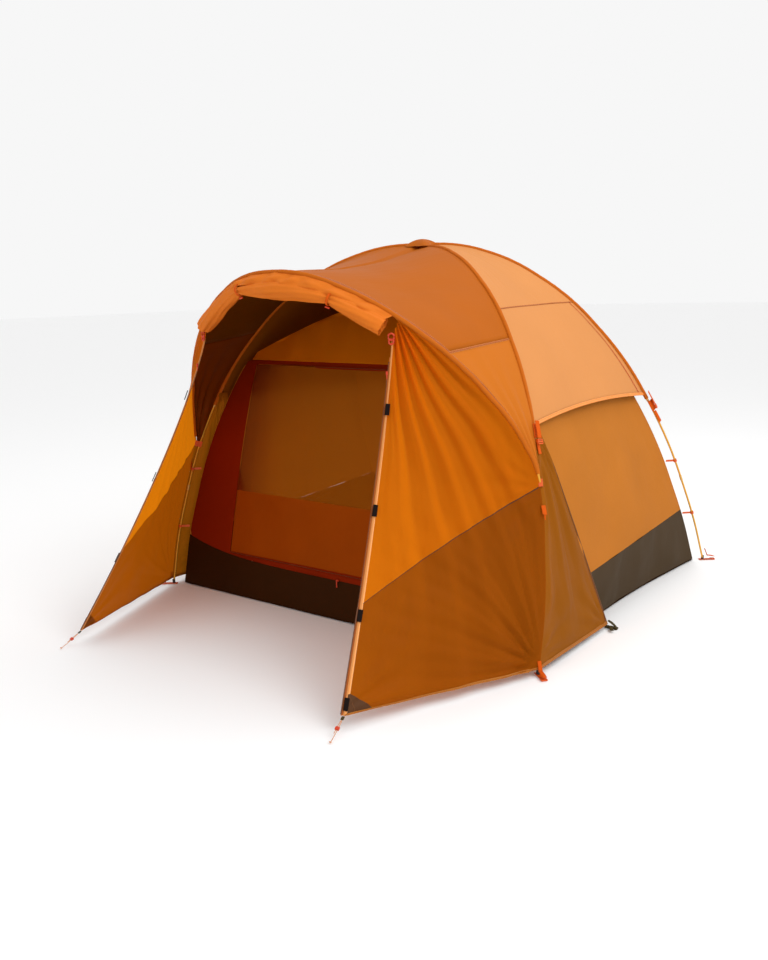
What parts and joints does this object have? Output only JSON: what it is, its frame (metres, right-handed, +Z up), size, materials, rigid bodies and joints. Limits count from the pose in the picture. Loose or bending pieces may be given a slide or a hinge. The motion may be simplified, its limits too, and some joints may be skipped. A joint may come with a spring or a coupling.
{
  "type": "dome tent",
  "caption": "Family dome tent with crossed poles, a hooped front porch, a rolled-up porch door, a netting inner door and a bucket floor.",
  "frame": {"origin": "middle of the floor, on the ground", "axes": "+X to the right seen from the front, -Y to the front where the porch is, +Z up"},
  "size_m": [2.5302, 3.1547, 1.9225],
  "materials": {
    "pole_aluminium": "gold anodised",
    "ferrule_aluminium": "anodised",
    "pole_tip_plastic": "moulded",
    "socket_plastic": "moulded",
    "clip_plastic": "moulded",
    "buckle_plastic": "moulded",
    "toggle_plastic": "moulded",
    "slider_metal": "painted",
    "webbing_orange": "woven webbing",
    "webbing_taupe": "woven webbing",
    "sleeve_cloth": "coated polyester",
    "roof_cloth": "coated polyester",
    "porch_cloth_upper": "coated polyester",
    "porch_cloth_lower": "coated polyester",
    "wall_cloth": "breathable polyester",
    "door_cloth": "polyester",
    "netting": "fine netting",
    "bucket_cloth": "heavy coated cloth",
    "zip_tape": "woven tape and coil",
    "hook_tape": "hook and loop",
    "guy_line": "braided cord"
  },
  "bodies": {
    "tent": {"apex_patch": "sleeve_cloth", "corner_loops": "webbing_orange", "corner_straps": "webbing_orange", "floor_sheet": "bucket_cloth", "fly_rear": "roof_cloth", "fly_roof": "roof_cloth", "fly_shoulder_left": "roof_cloth", "fly_shoulder_right": "roof_cloth", "fly_side_left": "roof_cloth", "fly_side_right": "roof_cloth", "front_bucket": "bucket_cloth", "front_vent": "roof_cloth", "front_wall": "wall_cloth", "guy_cord_left": "guy_line", "guy_cord_right": "guy_line", "hook_tabs": "hook_tape", "hoop_pole": "pole_aluminium", "hoop_sleeve": "sleeve_cloth", "hoop_sockets": "socket_plastic", "main_pole_a": "pole_aluminium", "main_pole_b": "pole_aluminium", "pole_clips": "clip_plastic", "pole_ferrules": "ferrule_aluminium", "pole_tips": "pole_tip_plastic", "porch_lower_left": "porch_cloth_lower", "porch_lower_right": "porch_cloth_lower", "porch_upper_left": "porch_cloth_upper", "porch_upper_right": "porch_cloth_upper", "rear_bucket": "bucket_cloth", "rear_wall": "wall_cloth", "roll_ties": "webbing_orange", "rolled_door": "roof_cloth", "side_buckets": "bucket_cloth", "side_stake_loops": "webbing_taupe", "side_wall_left": "wall_cloth", "side_wall_right": "wall_cloth", "sleeves_front": "sleeve_cloth", "sleeves_rear": "sleeve_cloth", "tension_straps": "webbing_orange", "wing_left": "porch_cloth_lower", "wing_right": "porch_cloth_lower", "zip_tapes": "zip_tape"},
    "inner_door": {"door_band": "door_cloth", "door_netting": "netting"},
    "sill_slider": {"sill_slider": "slider_metal"},
    "sill_pull": {"sill_pull": "toggle_plastic"},
    "zip_slider_left": {"zip_slider_left": "slider_metal"},
    "roll_toggle_left": {"roll_toggle_left": "toggle_plastic"},
    "line_lock_left": {"line_lock_left": "buckle_plastic"},
    "zip_slider_right": {"zip_slider_right": "slider_metal"},
    "roll_toggle_right": {"roll_toggle_right": "toggle_plastic"},
    "line_lock_right": {"line_lock_right": "buckle_plastic"},
    "ladder_lock_front_left": {"ladder_lock_front_left": "buckle_plastic"},
    "tension_lock_front_left": {"tension_lock_front_left": "buckle_plastic"},
    "ladder_lock_front_right": {"ladder_lock_front_right": "buckle_plastic"},
    "tension_lock_front_right": {"tension_lock_front_right": "buckle_plastic"},
    "ladder_lock_rear_left": {"ladder_lock_rear_left": "buckle_plastic"},
    "tension_lock_rear_left": {"tension_lock_rear_left": "buckle_plastic"},
    "ladder_lock_rear_right": {"ladder_lock_rear_right": "buckle_plastic"},
    "tension_lock_rear_right": {"tension_lock_rear_right": "buckle_plastic"}
  },
  "joints": [
    {"name": "inner_door_swing", "type": "hinge", "parent": "tent", "child": "inner_door", "pos_m": [-0.8, -0.96282, 0.232], "axis": [0, 0.2627, 0.9649], "range_deg": [0, 38]},
    {"name": "sill_slider_slide", "type": "slide", "parent": "tent", "child": "sill_slider", "axis": [1, 0, 0], "range_m": [-0.45, 0.45]},
    {"name": "sill_pull_swing", "type": "hinge", "parent": "sill_slider", "child": "sill_pull", "pos_m": [0, -0.98109, 0.203], "axis": [-1, 0, 0], "range_deg": [0, 80]},
    {"name": "zip_left_slide", "type": "slide", "parent": "tent", "child": "zip_slider_left", "axis": [-0.12, -0.3488, -0.9295], "range_m": [0, 0.11]},
    {"name": "roll_toggle_left_turn", "type": "hinge", "parent": "tent", "child": "roll_toggle_left", "pos_m": [-0.17755, -1.37549, 1.64591], "axis": [-0.2094, 0.0288, 0.9774], "range_deg": [0, 85]},
    {"name": "line_lock_left_slide", "type": "slide", "parent": "tent", "child": "line_lock_left", "axis": [-0.152, -0.864, -0.48], "range_m": [-0.026, 0.012]},
    {"name": "zip_right_slide", "type": "slide", "parent": "tent", "child": "zip_slider_right", "axis": [0.12, -0.3488, -0.9295], "range_m": [0, 0.11]},
    {"name": "roll_toggle_right_turn", "type": "hinge", "parent": "tent", "child": "roll_toggle_right", "pos_m": [0.31945, -1.34634, 1.59882], "axis": [0.3234, 0.0731, 0.9434], "range_deg": [0, 85]},
    {"name": "line_lock_right_slide", "type": "slide", "parent": "tent", "child": "line_lock_right", "axis": [0.152, -0.864, -0.48], "range_m": [-0.026, 0.012]},
    {"name": "ladder_lock_front_left_tilt", "type": "hinge", "parent": "tent", "child": "ladder_lock_front_left", "pos_m": [-1.23709, -1.07967, 0.0033], "axis": [-0.6247, 0.7809, 0], "range_deg": [0, 60]},
    {"name": "tension_lock_front_left_tilt", "type": "hinge", "parent": "tent", "child": "tension_lock_front_left", "pos_m": [-1.07696, -0.81797, 1.00324], "axis": [-0.3652, 0.9179, -0.1554], "range_deg": [0, 45]},
    {"name": "ladder_lock_front_right_tilt", "type": "hinge", "parent": "tent", "child": "ladder_lock_front_right", "pos_m": [1.23709, -1.07967, 0.0033], "axis": [-0.6247, -0.7809, 0], "range_deg": [0, 60]},
    {"name": "tension_lock_front_right_tilt", "type": "hinge", "parent": "tent", "child": "tension_lock_front_right", "pos_m": [1.07696, -0.81797, 1.00324], "axis": [-0.3652, -0.9179, 0.1554], "range_deg": [0, 45]},
    {"name": "ladder_lock_rear_left_tilt", "type": "hinge", "parent": "tent", "child": "ladder_lock_rear_left", "pos_m": [-1.23709, 1.07967, 0.0033], "axis": [0.6247, 0.7809, 0], "range_deg": [0, 60]},
    {"name": "tension_lock_rear_left_tilt", "type": "hinge", "parent": "tent", "child": "tension_lock_rear_left", "pos_m": [-1.07621, 0.52381, 1.00604], "axis": [0.3522, 0.8853, 0.3038], "range_deg": [0, 45]},
    {"name": "ladder_lock_rear_right_tilt", "type": "hinge", "parent": "tent", "child": "ladder_lock_rear_right", "pos_m": [1.23709, 1.07967, 0.0033], "axis": [0.6247, -0.7809, 0], "range_deg": [0, 60]},
    {"name": "tension_lock_rear_right_tilt", "type": "hinge", "parent": "tent", "child": "tension_lock_rear_right", "pos_m": [1.07621, 0.52381, 1.00604], "axis": [0.3522, -0.8853, -0.3038], "range_deg": [0, 45]}
  ]
}
